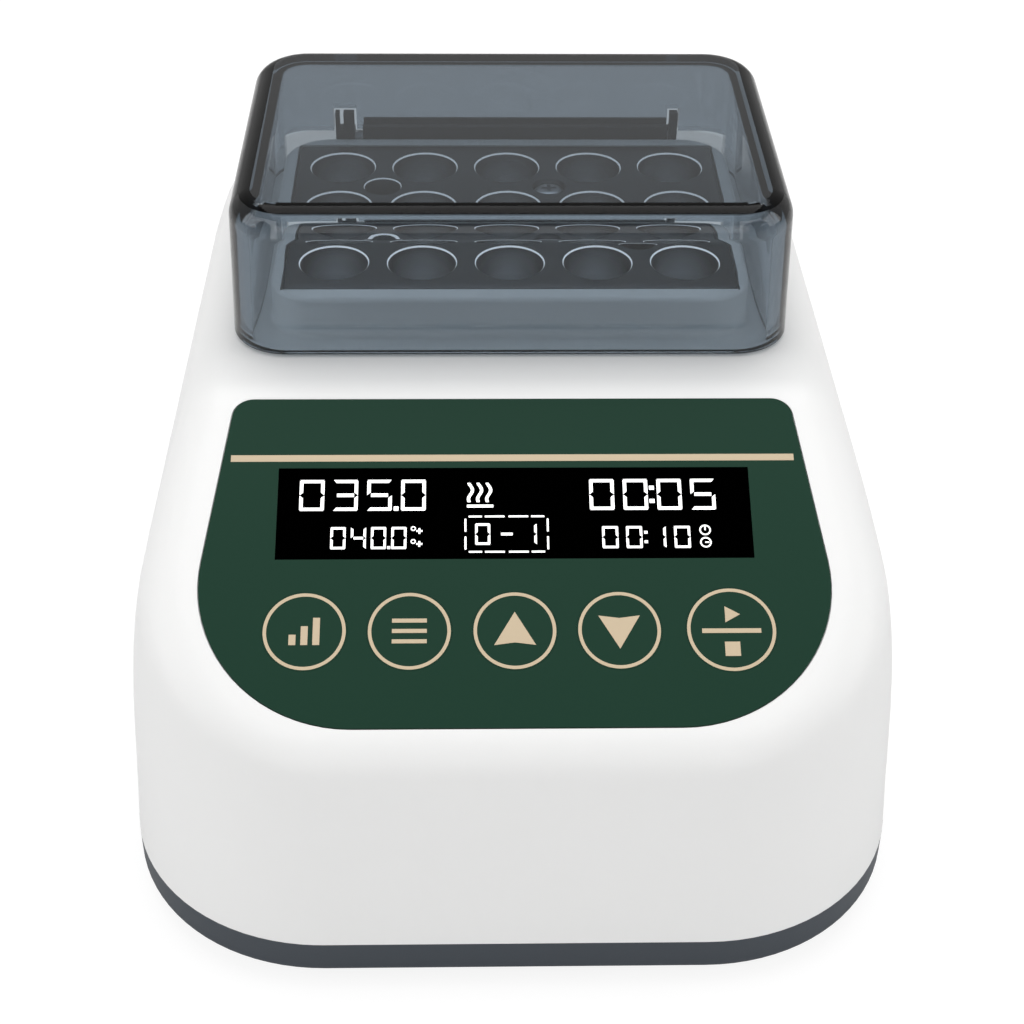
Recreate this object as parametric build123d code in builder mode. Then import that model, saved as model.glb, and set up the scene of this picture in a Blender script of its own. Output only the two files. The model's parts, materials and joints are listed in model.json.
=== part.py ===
from build123d import *
from math import atan2, cos, degrees, radians, sin, sqrt, tan
import os

# Dry bath incubator for fifteen small tubes: a white moulded housing on a dark base tray, a sloping
# control panel in front, a bored aluminium heating block in a raised rim, and a hinged clear cover.
# Millimetres, +Z up, front towards -Y, origin on the bench under the middle of the body.

os.makedirs("parts", exist_ok=True)

# General clearances and wall
running_gap = 0.05
loose_gap = 0.3
housing_wall = 2.5

# Housing body
body_width = 118.0
body_depth = 157.0
foot_height = 2.4
base_height = 6.1
deck_height = 68.0
front_corner = 30.8
rear_corner = 24.0
side_lean = 2.94
front_lean = 8.4
rear_lean = 1.0
crown_start = 25.0
crown_radius = 91.0
shoulder_radius = 8.0
outline_count = 6

# Sloping panel
panel_angle = 27.4
panel_bend_y = -21.3
panel_bend_radius = 14.0

# Tube grid and heating block
grid_y = 21.9
pitch_x = 14.2
pitch_y = 14.7
well_columns = 5
well_rows = 3
well_radius = 5.5
well_depth = 34.0
well_straight = 19.0
well_tip_radius = 2.2
well_rim = 0.25
block_width = 72.4
block_length = 46.0
block_height = 38.0
probe_well_radius = 3.1
probe_well_depth = 30.0

# Raised rim round the block
rim_height = 7.0
rim_side = 2.2
rim_end = 3.0
rim_corner = 8.0
rim_edge = 0.9
rim_foot = 0.8
block_gap = 0.4

# Clear cover
lid_width = 88.0
lid_front_gap = 7.2
lid_rear_gap = 4.9
lid_height = 24.2
lid_wall = 2.8
lid_top_wall = 3.2
lid_corner = 9.0
lid_draft = 1.5
lid_top_edge = 4.0
lid_inner_edge = 2.6
lid_rest_gap = 0.3

# Hinge
hinge_behind_rim = 2.5
hinge_above_deck = 6.0
pin_radius = 1.2
knuckle_wall = 0.8
ear_outer = 30.3
ear_left_inner = 27.0
ear_right_outer = 30.7
ear_right_inner = 29.3
knuckle_left = -25.5
knuckle_right = 29.0
ear_height = 11.4
bracket_base = 1.6
bracket_length = 62.0

# Control panel overlay, window and keys, as distances down the slope from the bend
overlay_top = 1.5
overlay_length = 52.8
overlay_top_half = 42.0
overlay_bottom_half = 49.1
overlay_top_corner = 3.2
overlay_bottom_corner = 22.6
overlay_thickness = 0.5
overlay_recess = 0.4
window_down = 20.8
window_width = 70.0
window_height = 15.0
key_down = 39.6
key_places = {
    "key_program": -30.3,
    "key_menu": -15.3,
    "key_up": -0.2,
    "key_down": 14.8,
    "key_start_stop": 30.9,
}
key_radius = 5.9
start_key_radius = 6.35
key_gap = 0.3
key_flange = 0.9
key_flange_thickness = 0.6
key_stem_radius = 1.6
key_travel = 0.4

# Display board behind the panel
board_thickness = 1.6
display_board_width = 79.0
display_board_top = 11.0
display_board_bottom = 52.0
display_board_depth = 8.4
lcd_width = 69.0
lcd_height = 19.0
lcd_start = 2.7
switch_size = 6.0
switch_height = 3.5
switch_plunger_radius = 1.75
switch_plunger_height = 0.85
display_boss_radius = 2.0
display_boss_x = 37.3
display_boss_inset = 3.0

# Heater stack under the block
heater_plate_thickness = 6.0
heater_mat_thickness = 1.4
heater_mat_inset = 3.0
pad_thickness = 4.0
tray_thickness = 1.2
tray_width = 96.0
tray_length = 44.0
jacket_wall = 3.2
heater_post_x = 43.8
heater_post_spacing = 32.0
heater_post_radius = 3.2
sensor_radius = 1.5
sensor_length = 20.0
sensor_x = -18.0
cutout_size = (10.0, 3.4, 5.0)
cutout_x = 14.0

# Housing screws, posts and feet
post_radius = 3.6
front_post = (44.0, -56.0)
rear_post = (43.0, 52.0)
screw_shank = 1.45
screw_head = 2.8
screw_head_height = 2.0
screw_length = 14.0
small_screw_shank = 1.0
small_screw_head = 1.9
small_screw_head_height = 1.2
small_screw_length = 5.5
foot_radius = 6.0
foot_seat = 0.8
front_foot = (34.0, -64.0)
rear_foot = (38.0, 66.0)

# Base tray
tray_floor = 2.0
tray_side = 4.4
tongue_gap = 0.7
tongue_height = 2.0
tray_edge = 1.6
vent_width = 2.2
vent_length = 24.0
vent_pitch = 5.5
vent_count = 7

# Main board
main_board_width = 76.0
main_board_length = 60.0
main_board_y = 18.0
main_boss_height = 3.6
main_boss_radius = 2.6
main_boss_inset = 5.0

# Rear connectors
rear_recess_width = 74.0
rear_recess_height = 22.0
rear_recess_depth = 2.0
rear_recess_corner = 3.0
connector_height = 24.0
jack_x = -22.0
jack_thread_radius = 4.0
jack_flange_radius = 5.6
jack_flange_thickness = 1.6
jack_bore_radius = 2.75
jack_bore_depth = 9.0
jack_pin_radius = 1.05
jack_length = 13.0
jack_nut_width = 11.0
jack_nut_thickness = 2.2
rocker_x = 20.0
rocker_cutout_width = 19.2
rocker_cutout_height = 12.9
rocker_bezel_width = 21.4
rocker_bezel_height = 15.2
rocker_bezel_thickness = 1.8
rocker_body_depth = 15.0
rocker_cap_width = 16.0
rocker_cap_height = 10.4
rocker_tilt = 9.0
rocker_pivot_depth = 3.0

# Places worked out from the driving dimensions
base_bottom = foot_height
parting = foot_height + base_height
rim_top = deck_height + rim_height
rim_width = block_width + 2 * (block_gap + rim_side)
rim_length = block_length + 2 * (block_gap + rim_end)
rim_front = grid_y - rim_length / 2
rim_back = grid_y + rim_length / 2
block_bottom = rim_top - block_height
heater_plate_bottom = block_bottom - heater_plate_thickness
mat_bottom = heater_plate_bottom - heater_mat_thickness
pad_bottom = mat_bottom - pad_thickness
heater_tray_bottom = pad_bottom - tray_thickness
lid_front = rim_front - lid_front_gap
lid_back = rim_back + lid_rear_gap
lid_bottom = deck_height + lid_rest_gap
lid_top = lid_bottom + lid_height
lid_length = lid_back - lid_front
lid_middle = (lid_front + lid_back) / 2
hinge_y = rim_back + hinge_behind_rim
hinge_z = deck_height + hinge_above_deck
knuckle_radius = pin_radius + knuckle_wall
knuckle_front = hinge_y - knuckle_radius
channel_floor = hinge_z + pin_radius + 0.55
main_board_bottom = base_bottom + tray_floor + main_boss_height
main_board_top = main_board_bottom + board_thickness
rear_plane = body_depth / 2 - rear_recess_depth
switch_top = display_board_depth - switch_height - switch_plunger_height
slope = radians(panel_angle)
panel = Plane(
    origin=(0, panel_bend_y, deck_height),
    x_dir=(1, 0, 0),
    z_dir=(0, -sin(slope), cos(slope)),
)


def save(piece, name):
    """Label a finished piece and write it as its own file."""
    piece.part.label = name
    export_step(piece.part, f"parts/{name}.step")


def panel_at(depth):
    """The plane of the sloping panel, at a depth below its surface."""
    return panel.offset(-depth)


def wall_inset(height, lean):
    """How far a housing wall has come in at a height above the parting line."""
    crown = max(0.0, height - crown_start)
    return height * tan(radians(lean)) + crown_radius - sqrt(crown_radius**2 - crown**2)


def body_outline(height, thickness):
    """The housing's rounded outline at a height above the parting line, inside a wall thickness."""
    half = body_width / 2 - wall_inset(height, side_lean) - thickness
    front = -body_depth / 2 + wall_inset(height, front_lean) + thickness
    rear = body_depth / 2 - wall_inset(height, rear_lean) - thickness
    ease = 0.6 * wall_inset(height, side_lean) + thickness
    with BuildSketch(Plane.XY.offset(parting + height)) as outline:
        with Locations((0, (front + rear) / 2)):
            Rectangle(2 * half, rear - front)
        fillet(outline.vertices().group_by(Axis.Y)[0], front_corner - ease)
        fillet(outline.vertices().group_by(Axis.Y)[-1], rear_corner - ease)
    return outline.sketch.face()


def body_form(thickness):
    """The housing's solid form, crowned walls with a deck, a sloping panel and a rounded shoulder."""
    above_deck = 2.0
    reach = deck_height - parting + above_deck
    far = body_depth
    bend = (panel_bend_y + thickness * tan(slope / 2), deck_height - thickness)
    foot = (bend[0] - far * cos(slope), bend[1] - far * sin(slope))
    with BuildPart() as form:
        loft(
            sections=[
                body_outline(reach * step / (outline_count - 1), thickness)
                for step in range(outline_count)
            ]
        )
        with BuildSketch(Plane.YZ) as side_view:
            with BuildLine():
                Polyline((far, foot[1]), (far, bend[1]), bend, foot, close=True)
            make_face()
            corner = side_view.vertices().sort_by_distance((0, bend[0], bend[1]))[0]
            fillet(corner, panel_bend_radius)
        extrude(amount=body_width, both=True, mode=Mode.INTERSECT)
        roof = form.faces().filter_by(lambda face: face.normal_at().Z > 0.5)
        roof_edges = ShapeList(edge for face in roof for edge in face.edges())
        rim_edges = roof_edges.filter_by(
            lambda edge: sum(edge.is_same(other) for other in roof_edges) == 1
        )
        fillet(rim_edges, shoulder_radius - thickness)
    return form.part


def screw_shape(shank, head, head_height, length):
    """A pan-head screw with its head's underside at the origin and its shank along -Z."""
    recess = head * 0.9
    with BuildPart() as screw:
        with BuildSketch(Plane.XZ):
            with BuildLine():
                Polyline(
                    (0, -length),
                    (shank * 0.6, -length),
                    (shank, -length + shank),
                    (shank, 0),
                    (head, 0),
                    (head, head_height * 0.55),
                )
                ThreePointArc(
                    (head, head_height * 0.55),
                    (head * 0.72, head_height * 0.9),
                    (head * 0.2, head_height),
                )
                Polyline((head * 0.2, head_height), (0, head_height), (0, -length))
            make_face()
        revolve(axis=Axis.Z)
        with Locations((0, 0, head_height)):
            Box(recess, recess * 0.24, head_height, mode=Mode.SUBTRACT)
            Box(recess * 0.24, recess, head_height, mode=Mode.SUBTRACT)
    return screw.part


def upper_housing():
    """White moulded housing: crowned walls, shoulder, deck with the block's rim, and sloping panel."""
    outer = body_form(0)
    key_row = {name: (x, -key_down) for name, x in key_places.items()}
    with BuildPart() as housing:
        add(outer)
        with BuildSketch(Plane.XY.offset(deck_height - housing_wall)):
            with Locations((0, grid_y)):
                RectangleRounded(rim_width, rim_length, rim_corner)
        extrude(amount=rim_height + housing_wall)
        rim_crest = housing.faces().sort_by(Axis.Z)[-1]
        fillet(rim_crest.outer_wire().edges(), rim_edge)
        foot_edges = housing.edges().filter_by_position(
            Axis.Z, deck_height - 0.01, deck_height + 0.01
        ).filter_by_position(
            Axis.Y, rim_front - 0.01, rim_back + 0.01
        ).filter_by(lambda edge: abs(edge.center().X) < rim_width / 2 + 0.01)
        fillet(foot_edges, rim_foot)
        add(body_form(housing_wall), mode=Mode.SUBTRACT)
        add(housing_posts(outer))
        # opening for the heating block
        with BuildSketch(Plane.XY.offset(deck_height - housing_wall)):
            with Locations((0, grid_y)):
                Rectangle(block_width + 2 * block_gap, block_length + 2 * block_gap)
        extrude(amount=rim_height + housing_wall, mode=Mode.SUBTRACT)
        # recess for the overlay, with the display opening and the key holes
        with BuildSketch(panel_at(overlay_recess)):
            add(overlay_outline(0.15))
        extrude(amount=overlay_recess * 2, mode=Mode.SUBTRACT)
        ledge = 1.2
        with BuildSketch(panel_at(housing_wall * 2)):
            with Locations((0, -window_down)):
                Rectangle(lcd_width - 2 * ledge, window_height - 2 * ledge)
            for name, place in key_row.items():
                with Locations(place):
                    Circle(key_size(name) + key_gap)
        extrude(amount=housing_wall * 2, mode=Mode.SUBTRACT)
        # bosses for the display board
        with BuildSketch(panel_at(display_board_depth)):
            with Locations(*display_boss_places()):
                Circle(display_boss_radius)
        extrude(amount=display_board_depth - housing_wall / 2)
        with BuildSketch(panel_at(display_board_depth)):
            with Locations(*display_boss_places()):
                Circle(small_screw_shank + running_gap)
        extrude(amount=small_screw_length, mode=Mode.SUBTRACT)
        # screw holes in the long posts and in the hanging heater posts
        with BuildSketch(Plane.XY.offset(parting)):
            with Locations(*corner_places(front_post, rear_post)):
                Circle(screw_shank + running_gap)
        extrude(amount=screw_length, mode=Mode.SUBTRACT)
        with BuildSketch(Plane.XY.offset(pad_bottom)):
            with Locations(*heater_post_places()):
                Circle(screw_shank + running_gap)
        extrude(amount=screw_length, mode=Mode.SUBTRACT)
        # holes under the hinge bracket
        with BuildSketch(Plane.XY.offset(deck_height - 2 * housing_wall)):
            with Locations(*bracket_screw_places()):
                Circle(small_screw_shank + loose_gap)
        extrude(amount=3 * housing_wall, mode=Mode.SUBTRACT)
        # rear recess with the inlet and switch openings
        with BuildSketch(Plane.XZ.offset(-rear_plane)):
            with Locations((0, connector_height)):
                RectangleRounded(rear_recess_width, rear_recess_height, rear_recess_corner)
        extrude(amount=-2 * rear_recess_depth, mode=Mode.SUBTRACT)
        with BuildSketch(Plane.XZ.offset(-rear_plane)):
            with Locations((jack_x, connector_height)):
                Circle(jack_thread_radius + running_gap * 2)
            with Locations((rocker_x, connector_height)):
                Rectangle(rocker_cutout_width, rocker_cutout_height)
        extrude(amount=2 * housing_wall + rear_recess_depth, mode=Mode.SUBTRACT)
    save(housing, "upper_housing")


def housing_posts(outer):
    """Screw posts that hang from the roof, the pad behind the rear recess, all kept inside the form."""
    with BuildPart() as posts:
        with BuildSketch(Plane.XY.offset(parting + tongue_height)):
            with Locations(*corner_places(front_post, rear_post)):
                Circle(post_radius)
        extrude(amount=deck_height)
        with BuildSketch(Plane.XY.offset(pad_bottom)):
            with Locations(*heater_post_places()):
                Circle(heater_post_radius)
        extrude(amount=deck_height)
        with BuildSketch(Plane.XZ.offset(-rear_plane - rear_recess_depth)):
            with Locations((0, connector_height)):
                Rectangle(rear_recess_width + 6, rear_recess_height + 4)
        extrude(amount=housing_wall + rear_recess_depth)
        add(outer, mode=Mode.INTERSECT)
    return posts.part


def corner_places(front, rear):
    """Four places, mirrored left and right."""
    return [(side * x, y) for x, y in (front, rear) for side in (-1, 1)]


def heater_post_places():
    return [
        (side * heater_post_x, grid_y + end * heater_post_spacing / 2)
        for side in (-1, 1)
        for end in (-1, 1)
    ]


def bracket_screw_places():
    return [(side * bracket_length / 4, hinge_y) for side in (-1, 1)]


def display_boss_places():
    rows = (display_board_top + display_boss_inset, display_board_bottom - display_boss_inset)
    return [(side * display_boss_x, -row) for side in (-1, 1) for row in rows]


def key_size(name):
    return start_key_radius if name == "key_start_stop" else key_radius


def overlay_outline(margin):
    """The overlay's shape in the panel plane: straight top, sides that widen, big lower corners."""
    bottom = -(overlay_top + overlay_length) - margin
    top = -overlay_top + margin
    wide = overlay_bottom_half + margin
    with BuildSketch() as outline:
        with BuildLine():
            Polyline(
                (-overlay_top_half - margin, top),
                (overlay_top_half + margin, top),
                (wide, bottom),
                (-wide, bottom),
                close=True,
            )
        make_face()
        fillet(outline.vertices().group_by(Axis.Y)[-1], overlay_top_corner + margin)
        fillet(outline.vertices().group_by(Axis.Y)[0], overlay_bottom_corner + margin)
    return outline.sketch


def control_overlay():
    """Green printed polyester overlay, bonded in its recess, with a window and five key holes."""
    with BuildPart() as overlay:
        with BuildSketch(panel_at(overlay_recess)):
            add(overlay_outline(0))
            with Locations((0, -window_down)):
                Rectangle(window_width, window_height, mode=Mode.SUBTRACT)
            for name, x in key_places.items():
                with Locations((x, -key_down)):
                    Circle(key_size(name) + key_gap, mode=Mode.SUBTRACT)
        extrude(amount=overlay_thickness)
    save(overlay, "control_overlay")


def display_window():
    """Dark acrylic window that lies in the overlay's cut-out and covers the display."""
    with BuildPart() as window:
        with BuildSketch(panel_at(overlay_recess)):
            with Locations((0, -window_down)):
                Rectangle(window_width - running_gap * 2, window_height - running_gap * 2)
        extrude(amount=overlay_thickness)
    save(window, "display_window")


def keys():
    """Five press keys, each a cap that slides in its hole with a flange that holds it in."""
    for name, x in key_places.items():
        radius = key_size(name)
        proud = overlay_thickness - overlay_recess
        flange_top = housing_wall + running_gap
        flange_bottom = flange_top + key_flange_thickness
        stem_end = switch_top - key_travel - running_gap
        with BuildPart() as key:
            with BuildSketch(panel_at(flange_top)):
                with Locations((x, -key_down)):
                    Circle(radius)
            extrude(amount=flange_top + proud)
            with BuildSketch(panel_at(flange_bottom)):
                with Locations((x, -key_down)):
                    Circle(radius + key_flange)
            extrude(amount=key_flange_thickness)
            with BuildSketch(panel_at(stem_end)):
                with Locations((x, -key_down)):
                    Circle(key_stem_radius)
            extrude(amount=stem_end - flange_bottom)
        save(key, name)


def display_board():
    """Board behind the panel that carries the display and the five switches."""
    middle = (display_board_top + display_board_bottom) / 2
    with BuildPart() as board:
        with BuildSketch(panel_at(display_board_depth + board_thickness)):
            with Locations((0, -middle)):
                RectangleRounded(
                    display_board_width, display_board_bottom - display_board_top, 1.5
                )
            with Locations(*display_boss_places()):
                Circle(small_screw_shank + running_gap * 2, mode=Mode.SUBTRACT)
        extrude(amount=board_thickness)
    save(board, "display_board")


def lcd_module():
    """Segment display with its frame and backlight, seated on the display board."""
    frame = 1.5
    with BuildPart() as lcd:
        with BuildSketch(panel_at(display_board_depth)):
            with Locations((0, -window_down)):
                Rectangle(lcd_width, lcd_height)
        extrude(amount=display_board_depth - lcd_start)
        with BuildSketch(panel_at(lcd_start)):
            with Locations((0, -window_down)):
                Rectangle(lcd_width - 2 * frame, lcd_height - 2 * frame)
        extrude(amount=-frame / 4, mode=Mode.SUBTRACT)
    save(lcd, "lcd_module")


def key_switches():
    """Five tact switches on the display board, one under each key."""
    places = [(x, -key_down) for x in key_places.values()]
    with BuildPart() as switches:
        with BuildSketch(panel_at(display_board_depth)):
            with Locations(*places):
                Rectangle(switch_size, switch_size)
        extrude(amount=switch_height)
        with BuildSketch(panel_at(display_board_depth - switch_height)):
            with Locations(*places):
                Circle(switch_plunger_radius)
        extrude(amount=switch_plunger_height)
    save(switches, "key_switches")


def display_board_screws():
    """Four small screws that hold the display board to its bosses, heads behind the board."""
    screw = screw_shape(
        small_screw_shank, small_screw_head, small_screw_head_height, small_screw_length
    )
    back = panel_at(display_board_depth + board_thickness)
    seat = Plane(origin=back.origin, x_dir=back.x_dir, z_dir=-back.z_dir)
    with BuildPart() as screws:
        for x, y in display_boss_places():
            place = back.from_local_coords((x, y, 0))
            turned = Plane(origin=place, x_dir=seat.x_dir, z_dir=seat.z_dir)
            add(turned.location * screw)
    save(screws, "display_board_screws")


def heating_block():
    """Aluminium block with fifteen round wells that taper at the bottom, and three smaller holes."""
    taper_length = well_depth - well_straight
    with BuildPart() as block:
        with Locations((0, grid_y, block_bottom)):
            Box(
                block_width,
                block_length,
                block_height,
                align=(Align.CENTER, Align.CENTER, Align.MIN),
            )
        chamfer(block.edges().filter_by(Axis.Z), 0.6)
        with Locations((0, grid_y, rim_top)):
            with GridLocations(pitch_x, pitch_y, well_columns, well_rows):
                Cylinder(
                    well_radius,
                    well_straight,
                    align=(Align.CENTER, Align.CENTER, Align.MAX),
                    mode=Mode.SUBTRACT,
                )
        with Locations((0, grid_y, rim_top - well_straight)):
            with GridLocations(pitch_x, pitch_y, well_columns, well_rows):
                Cone(
                    well_tip_radius,
                    well_radius,
                    taper_length,
                    align=(Align.CENTER, Align.CENTER, Align.MAX),
                    mode=Mode.SUBTRACT,
                )
        mouths = block.faces().sort_by(Axis.Z)[-1].inner_wires()
        chamfer(ShapeList(edge for wire in mouths for edge in wire.edges()), well_rim)
        with Locations(*[(x, y, rim_top) for x, y in probe_places()]):
            Cylinder(
                probe_well_radius,
                probe_well_depth,
                align=(Align.CENTER, Align.CENTER, Align.MAX),
                mode=Mode.SUBTRACT,
            )
        with Locations((*fixing_place(), rim_top)):
            CounterBoreHole(
                screw_shank + loose_gap,
                screw_head + running_gap,
                screw_head_height + loose_gap,
            )
    save(block, "heating_block")


def probe_places():
    """Thermometer wells, between four tube wells, left behind and right in front."""
    return [
        (-1.5 * pitch_x, grid_y + pitch_y / 2),
        (1.5 * pitch_x, grid_y - pitch_y / 2),
    ]


def fixing_place():
    return (pitch_x / 2, grid_y + pitch_y / 2)


def block_screw():
    """Long screw through the block into the heater plate."""
    length = block_height - screw_head_height - loose_gap + heater_plate_thickness * 0.7
    screw = screw_shape(screw_shank, screw_head, screw_head_height, length)
    seat = rim_top - screw_head_height - loose_gap
    with BuildPart() as bolt:
        add(Location((*fixing_place(), seat)) * screw)
    save(bolt, "block_screw")


def heater_plate():
    """Aluminium plate under the block, with the screw's hole and the sensor's hole."""
    front = grid_y - block_length / 2
    with BuildPart() as plate:
        with Locations((0, grid_y, heater_plate_bottom)):
            Box(
                block_width,
                block_length,
                heater_plate_thickness,
                align=(Align.CENTER, Align.CENTER, Align.MIN),
            )
        with Locations((*fixing_place(), block_bottom)):
            Hole(screw_shank + running_gap)
        with BuildSketch(Plane.XZ.offset(-front)):
            with Locations((sensor_x, heater_plate_bottom + heater_plate_thickness / 2)):
                Circle(sensor_radius + running_gap)
        extrude(amount=-sensor_length - loose_gap, mode=Mode.SUBTRACT)
    save(plate, "heater_plate")


def flat_layer(name, width, length, bottom, thickness, corner):
    """A flat rectangular layer of the heater stack, centred under the block."""
    with BuildPart() as layer:
        with BuildSketch(Plane.XY.offset(bottom)):
            with Locations((0, grid_y)):
                RectangleRounded(width, length, corner)
        extrude(amount=thickness)
    save(layer, name)


def heater_tray():
    """Steel tray that clamps the heater stack and is screwed to the four hanging posts."""
    lip = 3.0
    with BuildPart() as tray:
        with BuildSketch(Plane.XY.offset(heater_tray_bottom)):
            with Locations((0, grid_y)):
                RectangleRounded(tray_width, tray_length, 4)
            with Locations(*heater_post_places()):
                Circle(screw_shank + loose_gap, mode=Mode.SUBTRACT)
        extrude(amount=tray_thickness)
        with BuildSketch(Plane.XY.offset(heater_tray_bottom)):
            for end in (-1, 1):
                with Locations((0, grid_y + end * (tray_length - tray_thickness) / 2)):
                    Rectangle(tray_width - 2 * tray_length / 2, tray_thickness)
        extrude(amount=-lip)
    save(tray, "heater_tray")


def heater_tray_screws():
    screw = screw_shape(screw_shank, screw_head, screw_head_height, screw_length - 4)
    with BuildPart() as screws:
        for x, y in heater_post_places():
            turned = Plane(
                origin=(x, y, heater_tray_bottom), x_dir=(1, 0, 0), z_dir=(0, 0, -1)
            )
            add(turned.location * screw)
    save(screws, "heater_tray_screws")


def insulation_jacket():
    """Foam frame round the lower block and the heater plate, below the deck."""
    inner = block_gap / 2
    top = deck_height - housing_wall - loose_gap
    with BuildPart() as jacket:
        with BuildSketch(Plane.XY.offset(heater_plate_bottom)):
            with Locations((0, grid_y)):
                Rectangle(
                    block_width + 2 * (inner + jacket_wall),
                    block_length + 2 * (inner + jacket_wall),
                )
                Rectangle(
                    block_width + 2 * inner, block_length + 2 * inner, mode=Mode.SUBTRACT
                )
        extrude(amount=top - heater_plate_bottom)
        front = grid_y - block_length / 2 - jacket_wall / 2
        with Locations(
            (sensor_x, front, heater_plate_bottom), (cutout_x, front, heater_plate_bottom)
        ):
            Box(
                cutout_size[0] + 1,
                jacket_wall * 2,
                2 * heater_plate_thickness,
                mode=Mode.SUBTRACT,
            )
    save(jacket, "insulation_jacket")


def temperature_sensor():
    """Steel probe in the heater plate, with a collar where its leads start."""
    front = grid_y - block_length / 2
    collar_length = 2.0
    middle = heater_plate_bottom + heater_plate_thickness / 2
    with BuildPart() as sensor:
        with BuildSketch(Plane.XZ.offset(-front + collar_length)):
            with Locations((sensor_x, middle)):
                Circle(sensor_radius)
        extrude(amount=-sensor_length - collar_length)
        with BuildSketch(Plane.XZ.offset(-front + collar_length)):
            with Locations((sensor_x, middle)):
                Circle(sensor_radius + 0.5)
        extrude(amount=-collar_length)
    save(sensor, "temperature_sensor")


def thermal_cutout():
    """Safety cut-out that lies against the plate's front edge."""
    front = grid_y - block_length / 2
    width, depth, height = cutout_size
    with BuildPart() as cutout:
        with Locations((cutout_x, front, heater_plate_bottom + 0.5)):
            Box(width, depth, height, align=(Align.CENTER, Align.MAX, Align.MIN))
        fillet(cutout.edges().filter_by(Axis.Z), 0.8)
    save(cutout, "thermal_cutout")


def base_tray():
    """Dark base tray: floor, low wall under the housing, tongue, vents, bosses and foot seats."""
    floor_top = base_bottom + tray_floor
    with BuildPart() as tray:
        add(base_outline(0))
        extrude(amount=-base_height)
        fillet(tray.faces().sort_by(Axis.Z)[0].edges(), tray_edge)
        add(base_outline(housing_wall + tongue_gap))
        extrude(amount=tongue_height)
        add(base_outline(tray_side, tongue_height))
        extrude(amount=-(base_height + tongue_height - tray_floor), mode=Mode.SUBTRACT)
        # bosses for the main board and for the housing screws
        with BuildSketch(Plane.XY.offset(floor_top)):
            with Locations(*main_boss_places()):
                Circle(main_boss_radius)
        extrude(amount=main_boss_height)
        with BuildSketch(Plane.XY.offset(floor_top)):
            with Locations(*corner_places(front_post, rear_post)):
                Circle(post_radius + 0.8)
        extrude(amount=parting + tongue_height - floor_top - running_gap)
        with BuildSketch(Plane.XY.offset(floor_top)):
            with Locations(*main_boss_places()):
                Circle(small_screw_shank + running_gap)
        extrude(amount=main_boss_height + 1, mode=Mode.SUBTRACT)
        with Locations(
            *[(x, y, base_bottom) for x, y in corner_places(front_post, rear_post)]
        ):
            with Locations(Location((0, 0, 0), (180, 0, 0))):
                CounterBoreHole(
                    screw_shank + loose_gap,
                    screw_head + loose_gap,
                    screw_head_height + loose_gap,
                )
        # seats for the feet
        with BuildSketch(Plane.XY.offset(base_bottom)):
            with Locations(*corner_places(front_foot, rear_foot)):
                Circle(foot_radius + 0.1)
        extrude(amount=foot_seat, mode=Mode.SUBTRACT)
        # air slots under the main board
        with BuildSketch(Plane.XY.offset(base_bottom)):
            with Locations((0, main_board_y)):
                with GridLocations(vent_pitch, 2 * vent_length * 0.62, vent_count, 2):
                    SlotOverall(vent_length, vent_width, rotation=90)
        extrude(amount=tray_floor, mode=Mode.SUBTRACT)
    save(tray, "base_tray")


def base_outline(thickness, above=0.0):
    """The parting outline moved in by a thickness, optionally raised."""
    face = body_outline(0, thickness)
    return Location((0, 0, above)) * face


def main_boss_places():
    half_width = main_board_width / 2 - main_boss_inset
    half_length = main_board_length / 2 - main_boss_inset
    return [
        (side * half_width, main_board_y + end * half_length)
        for side in (-1, 1)
        for end in (-1, 1)
    ]


def feet():
    """Four rubber feet, each a slightly tapered disc in its seat."""
    names = ["foot_front_left", "foot_front_right", "foot_rear_left", "foot_rear_right"]
    for name, (x, y) in zip(names, corner_places(front_foot, rear_foot)):
        with BuildPart() as foot:
            with BuildSketch(Plane.XY.offset(base_bottom + foot_seat)):
                with Locations((x, y)):
                    Circle(foot_radius)
            extrude(amount=-(foot_height + foot_seat), taper=3)
            fillet(foot.faces().sort_by(Axis.Z)[0].edges(), 0.6)
        save(foot, name)


def housing_screws():
    """Four screws from below through the base tray into the housing's posts."""
    screw = screw_shape(screw_shank, screw_head, screw_head_height, screw_length)
    seat = base_bottom + screw_head_height + loose_gap
    with BuildPart() as screws:
        for x, y in corner_places(front_post, rear_post):
            turned = Plane(origin=(x, y, seat), x_dir=(1, 0, 0), z_dir=(0, 0, -1))
            add(turned.location * screw)
    save(screws, "housing_screws")


def main_board():
    """Control board on the tray's bosses."""
    with BuildPart() as board:
        with BuildSketch(Plane.XY.offset(main_board_bottom)):
            with Locations((0, main_board_y)):
                RectangleRounded(main_board_width, main_board_length, 2)
            with Locations(*main_boss_places()):
                Circle(small_screw_shank + loose_gap, mode=Mode.SUBTRACT)
        extrude(amount=board_thickness)
    save(board, "main_board")


def main_board_screws():
    screw = screw_shape(
        small_screw_shank, small_screw_head, small_screw_head_height, small_screw_length - 1
    )
    with BuildPart() as screws:
        for x, y in main_boss_places():
            add(Location((x, y, main_board_top)) * screw)
    save(screws, "main_board_screws")


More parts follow.
